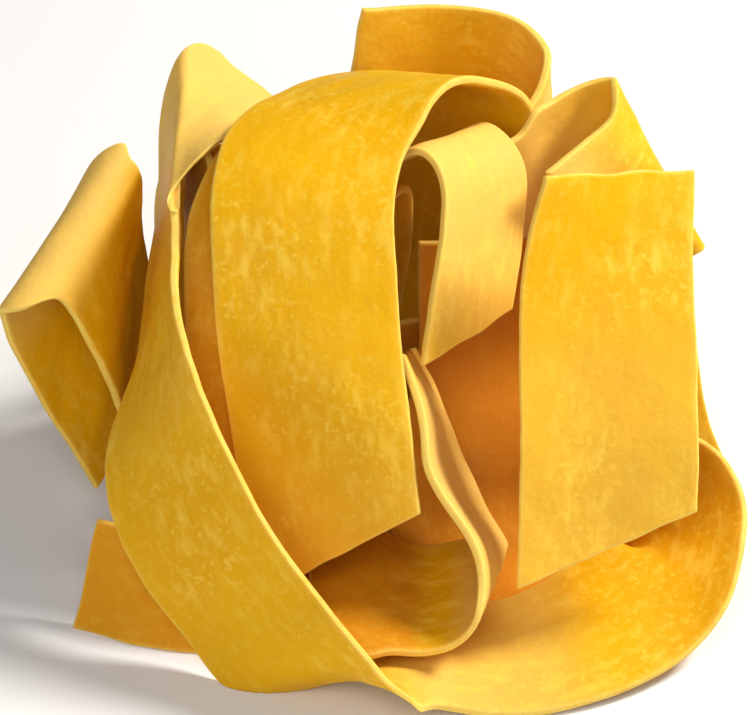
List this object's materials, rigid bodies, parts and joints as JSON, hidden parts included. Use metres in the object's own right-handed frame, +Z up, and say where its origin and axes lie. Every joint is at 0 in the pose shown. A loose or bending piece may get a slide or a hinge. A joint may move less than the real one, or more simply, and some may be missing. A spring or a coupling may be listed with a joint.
{
  "type": "dry pasta nest",
  "caption": "Nest of wide, flat dried egg pasta ribbons, coiled by hand into a loose round heap that stands on a table.",
  "frame": {"origin": "middle of the nest's bounding box, at the height of the surface it rests on", "axes": "+Z up, -Y towards the front, where the broad arch and the right flap face, +X to the right seen from the front"},
  "size_m": [0.0786, 0.0766, 0.0489],
  "materials": {
    "egg_pasta": "matt dried egg dough, golden yellow, with fine pale flecks of flour and slightly rough cut edges"
  },
  "bodies": {
    "root": {"ribbon_central_arch": "egg_pasta", "ribbon_outer_sweep": "egg_pasta", "ribbon_right_flap": "egg_pasta", "ribbon_inner_curl": "egg_pasta", "ribbon_front_scroll": "egg_pasta", "ribbon_top_back": "egg_pasta", "ribbon_right_loop": "egg_pasta", "ribbon_left_loop": "egg_pasta", "ribbon_second_arch": "egg_pasta", "ribbon_low_flap": "egg_pasta", "ribbon_inner_wall": "egg_pasta", "ribbon_shaded_turn": "egg_pasta", "ribbon_left_wall": "egg_pasta", "ribbon_back_sweep": "egg_pasta", "ribbon_back_band": "egg_pasta", "ribbon_back_drape": "egg_pasta", "ribbon_back_cross": "egg_pasta", "ribbon_floor_turn": "egg_pasta", "ribbon_left_turn": "egg_pasta", "ribbon_right_drop": "egg_pasta"}
  },
  "joints": []
}
